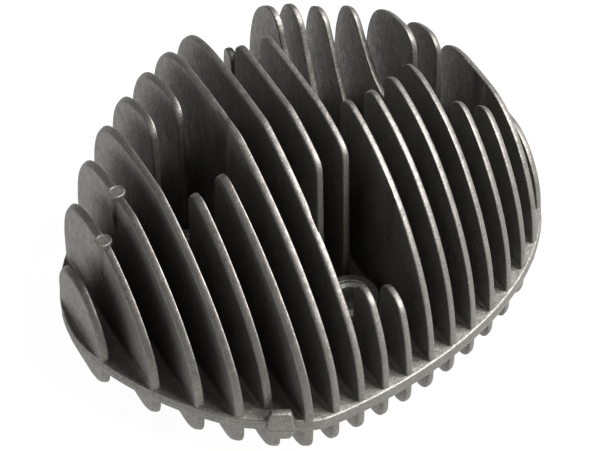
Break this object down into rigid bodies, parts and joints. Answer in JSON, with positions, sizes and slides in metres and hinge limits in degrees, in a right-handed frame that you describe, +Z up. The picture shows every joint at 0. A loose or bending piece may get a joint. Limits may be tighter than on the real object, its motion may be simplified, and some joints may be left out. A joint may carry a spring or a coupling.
{
  "type": "air-cooled engine cylinder head",
  "caption": "Cast cylinder head with tall domed cooling fins, deep stud wells and a leaning spark plug channel.",
  "frame": {"origin": "middle of the outline at the height of the gasket face", "axes": "+X across the fins, +Y along the fins towards the rear, +Z up the studs, out of the gasket face"},
  "size_m": [0.1634, 0.1318, 0.0833],
  "materials": {
    "cast": "bead-blasted casting",
    "deck": "bead-blasted casting",
    "machined": "turned, slightly dulled"
  },
  "bodies": {
    "root": {"deck_plate": "deck", "chamber_body": "machined", "spark_plug_boss": "cast", "stud_boss_left": "machined", "stud_boss_right": "machined", "stud_boss_front": "machined", "stud_boss_rear": "machined", "upper_fin_01": "cast", "upper_fin_02": "cast", "upper_fin_03": "cast", "upper_fin_04": "cast", "upper_fin_05_front": "cast", "upper_fin_05_rear": "cast", "upper_fin_06_front": "cast", "upper_fin_06_rear": "cast", "upper_fin_07": "cast", "upper_fin_08": "cast", "upper_fin_09_front": "cast", "upper_fin_09_middle": "cast", "upper_fin_09_rear": "cast", "upper_fin_10_front": "cast", "upper_fin_10_middle": "cast", "upper_fin_10_rear": "cast", "upper_fin_11_front": "cast", "upper_fin_11_rear": "cast", "upper_fin_12_front": "cast", "upper_fin_12_rear": "cast", "upper_fin_13": "cast", "upper_fin_14": "cast", "upper_fin_15_front": "cast", "upper_fin_15_rear": "cast", "upper_fin_16_front": "cast", "upper_fin_16_rear": "cast", "upper_fin_17": "cast", "upper_fin_18": "cast"}
  },
  "joints": []
}
